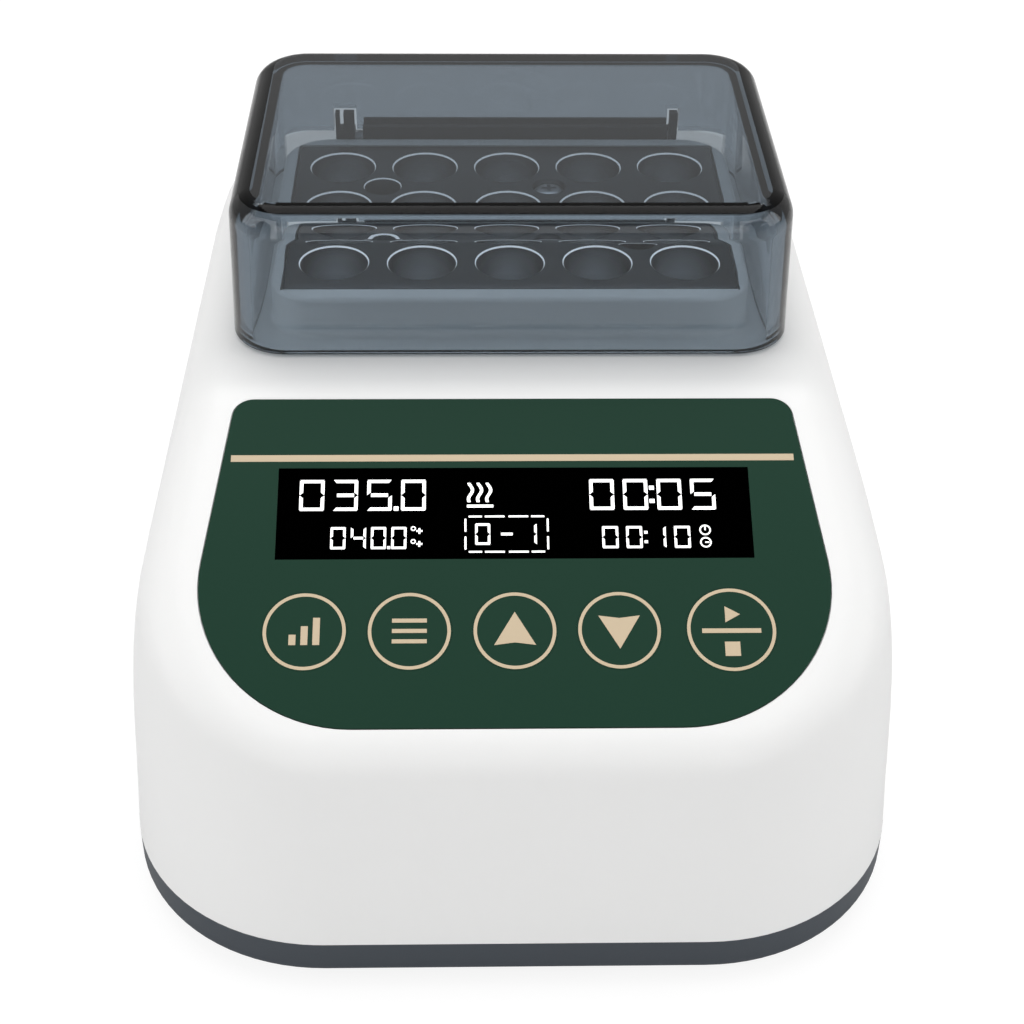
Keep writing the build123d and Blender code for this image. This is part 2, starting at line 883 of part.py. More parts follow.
def board_parts():
    """The larger components that stand on the main board."""
    with BuildPart() as capacitors:
        with Locations(
            *[(x, main_board_y + 19, main_board_top) for x in (-22, -10, 2)]
        ):
            Cylinder(5, 11.5, align=(Align.CENTER, Align.CENTER, Align.MIN))
        fillet(capacitors.faces().group_by(Axis.Z)[-1].edges(), 0.8)
    save(capacitors, "capacitors")

    with BuildPart() as inductor:
        with Locations((20, main_board_y + 18, main_board_top)):
            Box(12, 12, 7, align=(Align.CENTER, Align.CENTER, Align.MIN))
        chamfer(inductor.edges().filter_by(Axis.Z), 2)
    save(inductor, "power_inductor")

    fin_count = 6
    with BuildPart() as heatsink:
        with Locations((-20, main_board_y - 2, main_board_top)):
            Box(20, 2, 12, align=(Align.CENTER, Align.CENTER, Align.MIN))
            with GridLocations(3.6, 1, fin_count, 1):
                with Locations((0, 1, 0)):
                    Box(1.2, 8, 12, align=(Align.CENTER, Align.MIN, Align.MIN))
    save(heatsink, "transistor_heatsink")

    with BuildPart() as transistor:
        with Locations((-20, main_board_y - 3, main_board_top + 2)):
            Box(10, 4.4, 9, align=(Align.CENTER, Align.MAX, Align.MIN))
        with Locations((-20, main_board_y - 5, main_board_top)):
            with GridLocations(2.5, 1, 3, 1):
                Box(0.8, 0.6, 2, align=(Align.CENTER, Align.CENTER, Align.MIN))
    save(transistor, "power_transistor")

    with BuildPart() as processor:
        with Locations((14, main_board_y - 4, main_board_top)):
            Box(12, 12, 1.6, align=(Align.CENTER, Align.CENTER, Align.MIN))
    save(processor, "control_chip")

    with BuildPart() as headers:
        with Locations(*[(x, main_board_y - 22, main_board_top) for x in (-22, -4, 14)]):
            Box(12, 6, 7, align=(Align.CENTER, Align.CENTER, Align.MIN))
        with Locations(
            *[(x, main_board_y - 22, main_board_top + 2) for x in (-22, -4, 14)]
        ):
            Box(
                10,
                4,
                6,
                align=(Align.CENTER, Align.CENTER, Align.MIN),
                mode=Mode.SUBTRACT,
            )
    save(headers, "cable_headers")

    with BuildPart() as buzzer:
        with Locations((30, main_board_y - 15, main_board_top)):
            Cylinder(5.5, 7, align=(Align.CENTER, Align.CENTER, Align.MIN))
        with Locations((30, main_board_y - 15, main_board_top + 6)):
            Cylinder(1.2, 2, align=(Align.CENTER, Align.CENTER, Align.MIN), mode=Mode.SUBTRACT)
    save(buzzer, "buzzer")


def dc_jack():
    """Power inlet in the rear recess: flange, threaded barrel, plug bore with its centre pin."""
    with BuildPart() as jack:
        with BuildSketch(Plane.XZ.offset(-rear_plane)):
            with Locations((jack_x, connector_height)):
                Circle(jack_flange_radius)
        extrude(amount=-jack_flange_thickness)
        with BuildSketch(Plane.XZ.offset(-rear_plane)):
            with Locations((jack_x, connector_height)):
                Circle(jack_thread_radius)
        extrude(amount=jack_length)
        mouth = rear_plane + jack_flange_thickness
        with BuildSketch(Plane.XZ.offset(-mouth)):
            with Locations((jack_x, connector_height)):
                Circle(jack_bore_radius)
                Circle(jack_pin_radius, mode=Mode.SUBTRACT)
        extrude(amount=jack_bore_depth, mode=Mode.SUBTRACT)
        with Locations(
            *[(jack_x + x, rear_plane - jack_length, connector_height) for x in (-2, 2)]
        ):
            Box(1.8, 4, 0.5, align=(Align.CENTER, Align.MAX, Align.CENTER))
    save(jack, "dc_jack")


def dc_jack_nut():
    with BuildPart() as nut:
        with BuildSketch(Plane.XZ.offset(-rear_plane + housing_wall)):
            with Locations((jack_x, connector_height)):
                RegularPolygon(jack_nut_width / 2, 6, major_radius=False)
                Circle(jack_thread_radius + running_gap, mode=Mode.SUBTRACT)
        extrude(amount=jack_nut_thickness)
    save(nut, "dc_jack_nut")


def power_switch():
    """Rocker switch: a bezelled body snapped in the rear opening, and its tilting cap."""
    fit = 0.15
    opening_width = rocker_cap_width + 1.4
    opening_height = rocker_cap_height + 0.8
    pocket = rocker_pivot_depth + 3.5
    with BuildPart() as body:
        with BuildSketch(Plane.XZ.offset(-rear_plane)):
            with Locations((rocker_x, connector_height)):
                RectangleRounded(rocker_bezel_width, rocker_bezel_height, 1.2)
        extrude(amount=-rocker_bezel_thickness)
        with BuildSketch(Plane.XZ.offset(-rear_plane)):
            with Locations((rocker_x, connector_height)):
                Rectangle(rocker_cutout_width - 2 * fit, rocker_cutout_height - 2 * fit)
        extrude(amount=rocker_body_depth)
        with BuildSketch(Plane.XZ.offset(-rear_plane - rocker_bezel_thickness)):
            with Locations((rocker_x, connector_height)):
                Rectangle(opening_width, opening_height)
        extrude(amount=rocker_bezel_thickness + pocket, mode=Mode.SUBTRACT)
        with Locations(
            *[
                (rocker_x + x, rear_plane - rocker_body_depth, connector_height)
                for x in (-6, 0, 6)
            ]
        ):
            Box(0.8, 7, 4.8, align=(Align.CENTER, Align.MAX, Align.CENTER))
    save(body, "power_switch_body")

    pivot_y = rear_plane - rocker_pivot_depth
    half = rocker_cap_width / 2
    face = rear_plane + rocker_bezel_thickness - pivot_y
    with BuildPart() as cap:
        with BuildSketch(Plane.XY.offset(connector_height - rocker_cap_height / 2)):
            with BuildLine():
                Polyline(
                    (-half, face - 1.2),
                    (-half, 0),
                    (-half * 0.4, -2.4),
                    (half * 0.4, -2.4),
                    (half, 0),
                    (half, face - 1.2),
                )
                Polyline(
                    (half, face - 1.2),
                    (half - 0.8, face),
                    (0, face - half * sin(radians(rocker_tilt))),
                    (-half + 0.8, face),
                    (-half, face - 1.2),
                )
            make_face()
        extrude(amount=rocker_cap_height)
    tilted = Location((rocker_x, pivot_y, 0)) * Rotation(0, 0, -rocker_tilt) * cap.part
    with BuildPart() as rocker:
        add(tilted)
    save(rocker, "power_switch_rocker")


def lid_form(shrink, top_shrink, edge):
    """The cover's drafted form, drawn in by a wall, with a rounded top edge."""
    with BuildPart() as form:
        with BuildSketch(Plane.XY.offset(lid_bottom)):
            with Locations((0, lid_middle)):
                RectangleRounded(
                    lid_width - 2 * shrink, lid_length - 2 * shrink, lid_corner - shrink
                )
        extrude(amount=lid_height - top_shrink, taper=lid_draft)
        fillet(form.faces().sort_by(Axis.Z)[-1].edges(), edge)
    return form.part


def lid_cover():
    """Clear smoked cover, open below, with the rear wall cut away round the hinge."""
    low = lid_height
    gate_half = lid_width / 2 - lid_wall - 1.7
    over_rim = rim_height + 0.5
    bar_middle = (knuckle_left + knuckle_right) / 2
    bar_length = knuckle_right - knuckle_left
    rear_start = lid_back - lid_corner - 4
    reach = 2 * lid_corner
    ear_notch = 0.4
    with BuildPart() as lid:
        add(lid_form(0, 0, lid_top_edge))
        add(lid_form(lid_wall, lid_top_wall, lid_inner_edge), mode=Mode.SUBTRACT)
        corner = (Align.CENTER, Align.MIN, Align.MAX)
        with Locations((0, rear_start, deck_height + over_rim)):
            Box(2 * gate_half, reach, low, align=corner, mode=Mode.SUBTRACT)
        with Locations((bar_middle, rear_start, channel_floor + running_gap)):
            Box(bar_length + 3, reach, low, align=corner, mode=Mode.SUBTRACT)
        ear_top = deck_height + ear_height + 0.4
        left = (ear_outer + ear_left_inner) / 2
        right = (ear_right_outer + ear_right_inner) / 2
        with Locations((-left, rear_start, ear_top)):
            Box(
                ear_outer - ear_left_inner + 2 * ear_notch,
                reach,
                low,
                align=corner,
                mode=Mode.SUBTRACT,
            )
        with Locations((right, rear_start, ear_top)):
            Box(
                ear_right_outer - ear_right_inner + 2 * ear_notch,
                reach,
                low,
                align=corner,
                mode=Mode.SUBTRACT,
            )
    save(lid, "lid_cover")


def hinge_bar():
    """Black bar bonded to the cover's rear wall: a channel above, a round knuckle for the pin."""
    wall_front = lid_back - lid_wall - 0.35
    wall_back = lid_back + 0.1
    lip_top = channel_floor + 1.05
    back = wall_back + knuckle_wall
    with BuildPart() as bar:
        with BuildSketch(Plane.YZ.offset(knuckle_left)):
            with BuildLine():
                Polyline(
                    (knuckle_front, hinge_z),
                    (knuckle_front, lip_top),
                    (wall_front, lip_top),
                    (wall_front, channel_floor),
                    (wall_back, channel_floor),
                    (wall_back, lip_top),
                    (back, lip_top),
                    (back, channel_floor - 1.2),
                    (hinge_y + knuckle_radius, hinge_z),
                )
                ThreePointArc(
                    (hinge_y + knuckle_radius, hinge_z),
                    (hinge_y, hinge_z - knuckle_radius),
                    (knuckle_front, hinge_z),
                )
            make_face()
            with Locations((hinge_y, hinge_z)):
                Circle(pin_radius, mode=Mode.SUBTRACT)
        extrude(amount=knuckle_right - knuckle_left)
    save(bar, "hinge_bar")


def hinge_pin():
    """Steel pin, fixed in the bar, that turns in the two ears."""
    with BuildPart() as pin:
        with BuildSketch(Plane.YZ.offset(-ear_outer)):
            with Locations((hinge_y, hinge_z)):
                Circle(pin_radius)
        extrude(amount=ear_outer + ear_right_outer)
        chamfer(pin.edges().filter_by(GeomType.CIRCLE), 0.2)
    save(pin, "hinge_pin")


def hinge_bracket():
    """Black bracket behind the rim: a base strip with two slit ears that hold the pin."""
    ear_back = 2.3
    prong = 1.7
    front = knuckle_front - 0.1
    ears = [(-ear_outer, ear_outer - ear_left_inner), (ear_right_inner, ear_right_outer - ear_right_inner)]
    with BuildPart() as bracket:
        with BuildSketch(Plane.XY.offset(deck_height)):
            with Locations((0, hinge_y + 0.4)):
                RectangleRounded(bracket_length, 2 * (hinge_y + 0.4 - front), 1)
        extrude(amount=bracket_base)
        toe = bracket.edges().filter_by(Axis.X).group_by(Axis.Z)[0].sort_by(Axis.Y)[0]
        chamfer(toe, 0.5)
        for start, thickness in ears:
            with BuildSketch(Plane.YZ.offset(start)):
                with BuildLine():
                    Polyline(
                        (front, deck_height + bracket_base / 2),
                        (front, deck_height + ear_height),
                        (front + prong, deck_height + ear_height),
                        (front + prong, hinge_z + ear_back),
                        (hinge_y, hinge_z + ear_back),
                    )
                    ThreePointArc(
                        (hinge_y, hinge_z + ear_back),
                        (hinge_y + ear_back * sin(radians(45)), hinge_z + ear_back * cos(radians(45))),
                        (hinge_y + ear_back, hinge_z),
                    )
                    Polyline(
                        (hinge_y + ear_back, hinge_z),
                        (hinge_y + ear_back, deck_height + bracket_base / 2),
                        (front, deck_height + bracket_base / 2),
                    )
                make_face()
                with Locations((hinge_y, hinge_z)):
                    Circle(pin_radius + running_gap, mode=Mode.SUBTRACT)
            extrude(amount=thickness)
        # slit that leaves two thin prongs on the wide ear
        with Locations((-ear_outer + 1.1, front, deck_height + ear_height)):
            Box(
                0.7,
                4 * prong,
                6,
                align=(Align.CENTER, Align.CENTER, Align.CENTER),
                mode=Mode.SUBTRACT,
            )
        with BuildSketch(Plane.XY.offset(deck_height)):
            with Locations(*bracket_screw_places()):
                Circle(small_screw_shank + running_gap)
        extrude(amount=bracket_base, mode=Mode.SUBTRACT)
    save(bracket, "hinge_bracket")


def hinge_bracket_screws():
    """Two screws from inside the deck up into the bracket."""
    length = housing_wall + bracket_base * 0.8
    screw = screw_shape(
        small_screw_shank, small_screw_head, small_screw_head_height, length
    )
    with BuildPart() as screws:
        for x, y in bracket_screw_places():
            turned = Plane(
                origin=(x, y, deck_height - housing_wall), x_dir=(1, 0, 0), z_dir=(0, 0, -1)
            )
            add(turned.location * screw)
    save(screws, "hinge_bracket_screws")


upper_housing()
control_overlay()
display_window()
keys()
display_board()
lcd_module()
key_switches()
display_board_screws()
heating_block()
block_screw()
heater_plate()
flat_layer(
    "heater_mat",
    block_width - heater_mat_inset,
    block_length - heater_mat_inset,
    mat_bottom,
    heater_mat_thickness,
    2,
)
flat_layer("insulation_pad", block_width, block_length, pad_bottom, pad_thickness, 1)
heater_tray()
heater_tray_screws()
insulation_jacket()
temperature_sensor()
thermal_cutout()
base_tray()
feet()
housing_screws()
main_board()
main_board_screws()
board_parts()
dc_jack()
dc_jack_nut()
power_switch()
lid_cover()
hinge_bar()
hinge_pin()
hinge_bracket()
hinge_bracket_screws()
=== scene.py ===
import bpy
import bmesh
import json
from math import cos, pi, radians, sin, tan
from mathutils import Matrix, Vector

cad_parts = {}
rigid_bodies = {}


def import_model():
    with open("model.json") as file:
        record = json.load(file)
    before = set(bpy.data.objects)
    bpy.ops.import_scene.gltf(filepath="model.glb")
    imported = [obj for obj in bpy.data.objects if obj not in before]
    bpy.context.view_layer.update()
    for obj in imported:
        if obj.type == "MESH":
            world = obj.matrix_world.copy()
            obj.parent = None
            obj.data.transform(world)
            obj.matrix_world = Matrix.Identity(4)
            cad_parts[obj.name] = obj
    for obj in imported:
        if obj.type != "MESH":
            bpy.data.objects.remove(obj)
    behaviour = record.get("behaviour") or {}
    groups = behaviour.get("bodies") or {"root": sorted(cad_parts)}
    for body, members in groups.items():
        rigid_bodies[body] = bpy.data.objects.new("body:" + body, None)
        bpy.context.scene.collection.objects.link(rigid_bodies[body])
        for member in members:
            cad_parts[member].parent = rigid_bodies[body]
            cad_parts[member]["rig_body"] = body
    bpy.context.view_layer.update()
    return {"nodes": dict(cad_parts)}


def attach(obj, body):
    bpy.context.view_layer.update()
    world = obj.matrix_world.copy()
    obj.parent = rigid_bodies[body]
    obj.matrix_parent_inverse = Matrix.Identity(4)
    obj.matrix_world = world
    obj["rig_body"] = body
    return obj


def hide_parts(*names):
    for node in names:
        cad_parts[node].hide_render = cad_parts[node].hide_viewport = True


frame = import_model()
cad = frame["nodes"]
bpy.ops.object.select_all(action="DESELECT")


# Camera. It stands in front of the instrument and looks down at its panel and cover, turned and
# rolled by the small angles that the block, the keys and the outline give.
camera_place = (-0.006432, -0.265562, 0.224577)
lean, turn, roll = radians(36.308), radians(1.535), radians(0.703)
ahead = Vector((sin(turn) * cos(lean), cos(turn) * cos(lean), -sin(lean)))
level = Vector((cos(turn), -sin(turn), 0))
upright = level.cross(ahead)
side = level * cos(roll) + upright * sin(roll)
top = upright * cos(roll) - level * sin(roll)
bpy.ops.object.camera_add()
camera = bpy.context.object
camera.name = "bench_camera"
camera.data.lens = 66.81
camera.data.sensor_width = 36
camera.data.clip_start = 0.01
camera.matrix_world = (
    Matrix.Translation(camera_place)
    @ Matrix((side, top, -ahead)).transposed().to_4x4()
)
bpy.context.scene.camera = camera
bpy.context.scene.view_settings.view_transform = "Standard"


# Studio. A large pale floor under an even white surround, one broad lamp above and behind, a weaker
# one in front, and two soft lamps at the sides that give the white walls their slow fall of light.
def soft_lamp(name, place, aim, size, power):
    bpy.ops.object.light_add(type="AREA", location=place)
    lamp = bpy.context.object
    lamp.name = name
    lamp.data.shape = "RECTANGLE"
    lamp.data.size, lamp.data.size_y = size
    lamp.data.energy = power
    lamp.rotation_euler = (Vector(aim) - Vector(place)).to_track_quat("-Z", "Y").to_euler()
    return lamp


def seen_directly(nodes, links):
    """The socket that is 1 for what the camera sees, also through the cover, and 0 for other light."""
    path = nodes.new("ShaderNodeLightPath")
    straight = nodes.new("ShaderNodeMath")
    straight.operation = "MAXIMUM"
    links.new(path.outputs["Is Camera Ray"], straight.inputs[0])
    links.new(path.outputs["Is Transmission Ray"], straight.inputs[1])
    return straight.outputs[0]


soft_lamp("lamp_above", (0.0, 0.25, 0.95), (0, 0, 0.04), (0.9, 0.7), 5.4)
soft_lamp("lamp_right", (0.85, -0.15, 0.45), (0, 0, 0.04), (0.5, 0.6), 1.45)
soft_lamp("lamp_left", (-0.85, -0.2, 0.4), (0, 0, 0.04), (0.5, 0.6), 1.5)
soft_lamp("lamp_front", (0.0, -0.95, 0.35), (0, 0, 0.04), (0.9, 0.5), 1.6)

world = bpy.data.worlds.new("studio_surround")
bpy.context.scene.world = world
world.use_nodes = True
nodes, links = world.node_tree.nodes, world.node_tree.links
surround = nodes["Background"]
surround.inputs["Color"].default_value = (1, 1, 1, 1)
surround.inputs["Strength"].default_value = 0.5
seen = nodes.new("ShaderNodeBackground")
seen.inputs["Color"].default_value = (1, 1, 1, 1)
seen.inputs["Strength"].default_value = 1.0
choice = nodes.new("ShaderNodeMixShader")
links.new(seen_directly(nodes, links), choice.inputs["Fac"])
links.new(surround.outputs[0], choice.inputs[1])
links.new(seen.outputs[0], choice.inputs[2])
links.new(choice.outputs[0], nodes["World Output"].inputs["Surface"])

bpy.ops.mesh.primitive_plane_add(size=6, location=(0, 0, 0))
floor = bpy.context.object
floor.name = "studio_floor"
paper = bpy.data.materials.new("studio_paper")
paper.use_nodes = True
nodes, links = paper.node_tree.nodes, paper.node_tree.links
nodes.remove(nodes["Principled BSDF"])
matt = nodes.new("ShaderNodeBsdfDiffuse")
matt.inputs["Color"].default_value = (0.8, 0.8, 0.8, 1)
glow = nodes.new("ShaderNodeEmission")
glow.inputs["Strength"].default_value = 0.86
shade = nodes.new("ShaderNodeBsdfDiffuse")
shade.inputs["Color"].default_value = (0.2, 0.2, 0.2, 1)
bright = nodes.new("ShaderNodeAddShader")
links.new(glow.outputs[0], bright.inputs[0])
links.new(shade.outputs[0], bright.inputs[1])
choice = nodes.new("ShaderNodeMixShader")
links.new(seen_directly(nodes, links), choice.inputs["Fac"])
links.new(matt.outputs[0], choice.inputs[1])
links.new(bright.outputs[0], choice.inputs[2])
links.new(choice.outputs[0], nodes["Material Output"].inputs["Surface"])
floor.data.materials.append(paper)


# Upper housing. One white shell, moulded with a fine spark-eroded grain, its deck carrying the rim
# round the block and its front cut back to the sloping panel.
def grain_group():
    group = bpy.data.node_groups.new("moulded_grain", "ShaderNodeTree")
    face = group.interface
    for name, kind, value in (
        ("Colour", "NodeSocketColor", (0.8, 0.8, 0.8, 1)),
        ("Mottle", "NodeSocketFloat", 0.03),
        ("Grain Scale", "NodeSocketFloat", 3000.0),
        ("Roughness", "NodeSocketFloat", 0.45),
        ("Roughness Spread", "NodeSocketFloat", 0.08),
    ):
        socket = face.new_socket(name, in_out="INPUT", socket_type=kind)
        socket.default_value = value
    face.new_socket("Colour", in_out="OUTPUT", socket_type="NodeSocketColor")
    face.new_socket("Roughness", in_out="OUTPUT", socket_type="NodeSocketFloat")
    face.new_socket("Height", in_out="OUTPUT", socket_type="NodeSocketFloat")
    nodes, links = group.nodes, group.links
    given = nodes.new("NodeGroupInput")
    out = nodes.new("NodeGroupOutput")
    place = nodes.new("ShaderNodeTexCoord")
    fine = nodes.new("ShaderNodeTexNoise")
    fine.inputs["Detail"].default_value = 3.0
    links.new(place.outputs["Object"], fine.inputs["Vector"])
    links.new(given.outputs["Grain Scale"], fine.inputs["Scale"])
    links.new(fine.outputs["Fac"], out.inputs["Height"])
    cloud = nodes.new("ShaderNodeTexNoise")
    cloud.inputs["Scale"].default_value = 45.0
    cloud.inputs["Detail"].default_value = 4.0
    links.new(place.outputs["Object"], cloud.inputs["Vector"])
    centred = nodes.new("ShaderNodeMath")
    centred.operation = "SUBTRACT"
    centred.inputs[1].default_value = 0.5
    links.new(cloud.outputs["Fac"], centred.inputs[0])
    spread = nodes.new("ShaderNodeMath")
    spread.operation = "MULTIPLY_ADD"
    links.new(centred.outputs[0], spread.inputs[0])
    links.new(given.outputs["Roughness Spread"], spread.inputs[1])
    links.new(given.outputs["Roughness"], spread.inputs[2])
    links.new(spread.outputs[0], out.inputs["Roughness"])
    shift = nodes.new("ShaderNodeMath")
    shift.operation = "MULTIPLY_ADD"
    shift.inputs[2].default_value = 1.0
    links.new(centred.outputs[0], shift.inputs[0])
    links.new(given.outputs["Mottle"], shift.inputs[1])
    tone = nodes.new("ShaderNodeVectorMath")
    tone.operation = "SCALE"
    links.new(given.outputs["Colour"], tone.inputs[0])
    links.new(shift.outputs[0], tone.inputs["Scale"])
    links.new(tone.outputs["Vector"], out.inputs["Colour"])
    return group


moulded_grain = grain_group()


def moulded(name, colour, roughness, grain=3000.0, depth=0.15, mottle=0.03, spread=0.08, gloss=0.5):
    """A moulded plastic or rubber finish: its colour, how matt it is, and its grain."""
    material = bpy.data.materials.new(name)
    material.use_nodes = True
    nodes, links = material.node_tree.nodes, material.node_tree.links
    surface = nodes["Principled BSDF"]
    surface.inputs["Specular IOR Level"].default_value = gloss
    grainy = nodes.new("ShaderNodeGroup")
    grainy.node_tree = moulded_grain
    grainy.inputs["Colour"].default_value = (*colour, 1)
    grainy.inputs["Mottle"].default_value = mottle
    grainy.inputs["Grain Scale"].default_value = grain
    grainy.inputs["Roughness"].default_value = roughness
    grainy.inputs["Roughness Spread"].default_value = spread
    links.new(grainy.outputs["Colour"], surface.inputs["Base Color"])
    links.new(grainy.outputs["Roughness"], surface.inputs["Roughness"])
    bump = nodes.new("ShaderNodeBump")
    bump.inputs["Strength"].default_value = depth
    bump.inputs["Distance"].default_value = 0.00005
    links.new(grainy.outputs["Height"], bump.inputs["Height"])
    links.new(bump.outputs["Normal"], surface.inputs["Normal"])
    return material


def smooth_copy(name, material, angle=35):
    """A copy of a carried-over piece with its triangles joined, so that its curves shade evenly."""
    source = cad[name]
    copy = source.copy()
    copy.data = source.data.copy()
    copy.parent = None
    copy.name = name + "_shell"
    copy.data.name = copy.name
    bpy.context.scene.collection.objects.link(copy)
    bpy.ops.object.select_all(action="DESELECT")
    copy.select_set(True)
    bpy.context.view_layer.objects.active = copy
    if copy.data.has_custom_normals:
        bpy.ops.mesh.customdata_custom_splitnormals_clear()
    bpy.ops.object.mode_set(mode="EDIT")
    bpy.ops.mesh.select_all(action="SELECT")
    bpy.ops.mesh.remove_doubles(threshold=0.000002)
    bpy.ops.object.mode_set(mode="OBJECT")
    bpy.ops.object.shade_smooth_by_angle(angle=radians(angle))
    copy.data.materials.clear()
    copy.data.materials.append(material)
    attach(copy, source["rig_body"])
    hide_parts(name)
    return copy


housing_white = moulded("housing_white", (0.86, 0.86, 0.855), 0.42, depth=0.1, mottle=0.012)
smooth_copy("upper_housing", housing_white, 30)


# Base tray. Dark slate moulding that closes the housing from below, a little rougher than the shell.
base_slate = moulded("base_slate", (0.036, 0.046, 0.059), 0.5, grain=2200.0, depth=0.25, mottle=0.05)
smooth_copy("base_tray", base_slate, 30)

foot_rubber = moulded("foot_rubber", (0.02, 0.02, 0.021), 0.75, grain=1800.0, depth=0.4, mottle=0.1)
for corner in ("front_left", "front_right", "rear_left", "rear_right"):
    smooth_copy("foot_" + corner, foot_rubber)


# Control panel. A deep green printed film lies in its shallow recess, the display's dark window in
# its cut-out and the five keys in their holes, with a hairline between film and key.
def choose(kind, test):
    """Selects what passes the test in the piece being edited: corners, edges or faces."""
    bpy.ops.mesh.select_mode(type=kind)
    bpy.ops.mesh.select_all(action="DESELECT")
    shape = bmesh.from_edit_mesh(bpy.context.object.data)
    for item in {"VERT": shape.verts, "EDGE": shape.edges, "FACE": shape.faces}[kind]:
        if test(item):
            item.select_set(True)
    shape.select_flush_mode()
    bmesh.update_edit_mesh(bpy.context.object.data)


def only(piece):
    bpy.ops.object.select_all(action="DESELECT")
    piece.select_set(True)
    bpy.context.view_layer.objects.active = piece


# The panel's own frame, with its origin on the bend where the panel leaves the deck.
panel_bend = (0, -0.0213, 0.068)
slope_cos, slope_sin = cos(radians(27.4)), sin(radians(27.4))
panel_place = Matrix.Translation(panel_bend) @ Matrix(
    ((1, 0, 0), (0, slope_cos, -slope_sin), (0, slope_sin, slope_cos))
).to_4x4()
film_green = moulded(
    "film_green", (0.0118, 0.0425, 0.0262), 0.38, grain=4000.0, depth=0.06, mottle=0.03, gloss=0.06
)
window_black = moulded(
    "window_black", (0.0001, 0.0001, 0.0001), 0.3, grain=900.0, depth=0.0, mottle=0.0, gloss=0.0
)
# Millimetres in the panel's frame: each key's place across it, and the row that all five stand in.
key_spots = {
    "key_program": -30.3, "key_menu": -15.3, "key_up": -0.2, "key_down": 14.8, "key_start_stop": 30.9,
}
key_row = -39.6
# Radii in millimetres of the solid keys and of the holes round them, and the radii that are shown.
key_radius, shown_key_radius = 5.9, 6.13
hole_radius, shown_hole_radius = 6.2, 6.16
large_key_extra = 0.45
# How far from a key's axis, and above which level of the panel, a corner belongs to the edge; in metres.
hole_reach, hole_level = 0.00635, -0.001
key_reach, key_level = 0.0066, -0.0002


def fitted(piece, key, reach, factor, above):
    """Opens or closes a round edge about a key's axis, above a level of the panel."""
    spot = panel_place @ Vector((key_spots[key] / 1000, key_row / 1000, 0))
    only(piece)
    bpy.ops.object.mode_set(mode="EDIT")
    flat = panel_place.inverted()
    choose("VERT", lambda corner: (flat @ corner.co).z > above
           and (flat @ corner.co - flat @ spot).xy.length < reach)
    bpy.ops.transform.resize(value=(factor, factor, factor), center_override=spot)
    bpy.ops.object.mode_set(mode="OBJECT")


film = smooth_copy("control_overlay", film_green)
smooth_copy("display_window", window_black)
for key in key_spots:
    extra = large_key_extra if key == "key_start_stop" else 0
    hole_change = (shown_hole_radius + extra) / (hole_radius + extra)
    key_change = (shown_key_radius + extra) / (key_radius + extra)
    fitted(film, key, hole_reach + extra / 1000, hole_change, hole_level)
    fitted(smooth_copy(key, film_green), key, key_reach, key_change, key_level)


# Printing. The film carries a beige line under a bare title strip, and each key its ring and a plain
# symbol; the display shows seven-segment figures and a few signs in white. All places are millimetres
# in the panel's frame.
beige_ink = moulded("beige_ink", (0.6, 0.485, 0.335), 0.5, grain=5000.0, depth=0.05, mottle=0.04, gloss=0.2)
marks = []


def mark(width, height, x, y, narrow=1.0, turned=0.0):
    """A straight printed bar in millimetres on the panel, its lower edge narrower where mitred."""
    bpy.ops.object.select_all(action="DESELECT")
    bpy.ops.mesh.primitive_plane_add(size=1)
    piece = bpy.context.object
    piece.data.transform(Matrix.Diagonal((width, height, 1, 1)))
    for corner in piece.data.vertices:
        if corner.co.y < 0:
            corner.co.x *= narrow
    piece.data.transform(Matrix.Translation((x, y, 0)) @ Matrix.Rotation(radians(turned), 4, "Z"))
    marks.append(piece)
    return piece


def disc_mark(radius, x, y, stroke=None, corners=96):
    """A printed disc, or a ring where it has a stroke."""
    bpy.ops.object.select_all(action="DESELECT")
    bpy.ops.mesh.primitive_circle_add(vertices=corners, radius=radius, fill_type="NGON")
    piece = bpy.context.object
    if stroke:
        bpy.ops.object.mode_set(mode="EDIT")
        bpy.ops.mesh.select_all(action="SELECT")
        bpy.ops.mesh.inset(thickness=stroke)
        bpy.ops.mesh.delete(type="FACE")
        bpy.ops.object.mode_set(mode="OBJECT")
    piece.data.transform(Matrix.Translation((x, y, 0)))
    marks.append(piece)
    return piece


def printed(name, body, ink, lift=0.00012, thick=0.00003):
    """Joins the marks made so far into one thin layer on the panel."""
    bpy.ops.object.select_all(action="DESELECT")
    for piece in marks:
        piece.select_set(True)
    layer = marks[0]
    bpy.context.view_layer.objects.active = layer
    bpy.ops.object.join()
    layer.name = name
    layer.data.transform(Matrix.Diagonal((0.001, 0.001, 0.001, 1)))
    solid = layer.modifiers.new("thickness", "SOLIDIFY")
    solid.thickness = thick
    solid.offset = 0
    bpy.ops.object.modifier_apply(modifier="thickness")
    layer.data.transform(panel_place @ Matrix.Translation((0, 0, lift)))
    layer.data.materials.clear()
    layer.data.materials.append(ink)
    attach(layer, body)
    marks.clear()
    return layer


